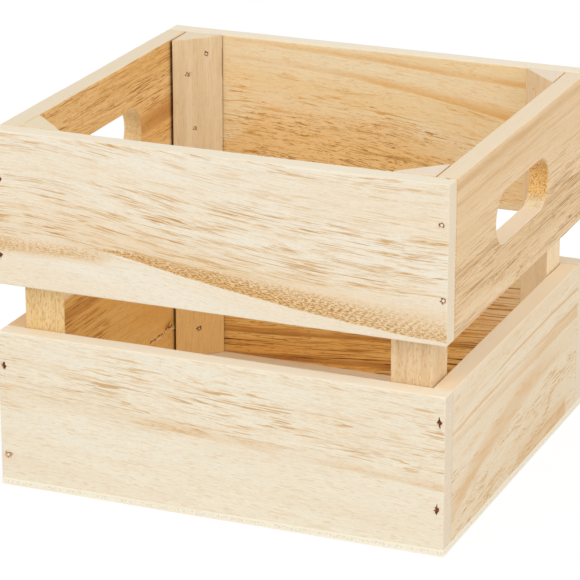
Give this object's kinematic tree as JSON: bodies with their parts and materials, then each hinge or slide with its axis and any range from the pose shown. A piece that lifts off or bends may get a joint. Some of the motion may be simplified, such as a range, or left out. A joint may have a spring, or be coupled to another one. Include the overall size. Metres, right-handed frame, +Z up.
{
  "type": "wooden crate",
  "caption": "Open-topped slatted wooden crate: boards nailed round three-cornered posts on a thin plywood base, with a hand slot in each short side.",
  "frame": {"origin": "middle of the underside of the base panel", "axes": "+X to the right along the long boards, +Y from the front to the back, +Z up"},
  "size_m": [0.2, 0.184, 0.1576],
  "materials": {
    "board_wood": "bare sanded softwood with brown pore grain",
    "post_wood": "bare sawn softwood",
    "base_plywood": "bare plywood",
    "nail_steel": "dull steel with brown stain"
  },
  "bodies": {
    "root": {"front_lower_board": "board_wood", "back_lower_board": "board_wood", "left_lower_board": "board_wood", "right_lower_board": "board_wood", "front_upper_board": "board_wood", "back_upper_board": "board_wood", "left_upper_board": "board_wood", "right_upper_board": "board_wood", "front_left_post": "post_wood", "front_right_post": "post_wood", "back_left_post": "post_wood", "back_right_post": "post_wood", "base_panel": "base_plywood", "nail_front_lower_left_high": "nail_steel", "nail_front_lower_left_low": "nail_steel", "nail_front_lower_right_high": "nail_steel", "nail_front_lower_right_low": "nail_steel", "nail_front_upper_left_high": "nail_steel", "nail_front_upper_left_low": "nail_steel", "nail_front_upper_right_high": "nail_steel", "nail_front_upper_right_low": "nail_steel", "nail_back_lower_left_high": "nail_steel", "nail_back_lower_left_low": "nail_steel", "nail_back_lower_right_high": "nail_steel", "nail_back_lower_right_low": "nail_steel", "nail_back_upper_left_high": "nail_steel", "nail_back_upper_left_low": "nail_steel", "nail_back_upper_right_high": "nail_steel", "nail_back_upper_right_low": "nail_steel", "brad_front_left_post_1": "nail_steel", "brad_front_left_post_2": "nail_steel", "brad_front_left_post_3": "nail_steel", "brad_front_left_post_4": "nail_steel", "brad_front_left_post_5": "nail_steel", "brad_front_right_post_1": "nail_steel", "brad_front_right_post_2": "nail_steel", "brad_front_right_post_3": "nail_steel", "brad_front_right_post_4": "nail_steel", "brad_front_right_post_5": "nail_steel", "brad_back_left_post_1": "nail_steel", "brad_back_left_post_2": "nail_steel", "brad_back_left_post_3": "nail_steel", "brad_back_left_post_4": "nail_steel", "brad_back_left_post_5": "nail_steel", "brad_back_right_post_1": "nail_steel", "brad_back_right_post_2": "nail_steel", "brad_back_right_post_3": "nail_steel", "brad_back_right_post_4": "nail_steel", "brad_back_right_post_5": "nail_steel", "brad_base_front_1": "nail_steel", "brad_base_front_2": "nail_steel", "brad_base_right_1": "nail_steel", "brad_base_right_2": "nail_steel", "brad_base_back_1": "nail_steel", "brad_base_back_2": "nail_steel", "brad_base_left_1": "nail_steel", "brad_base_left_2": "nail_steel"}
  },
  "joints": []
}
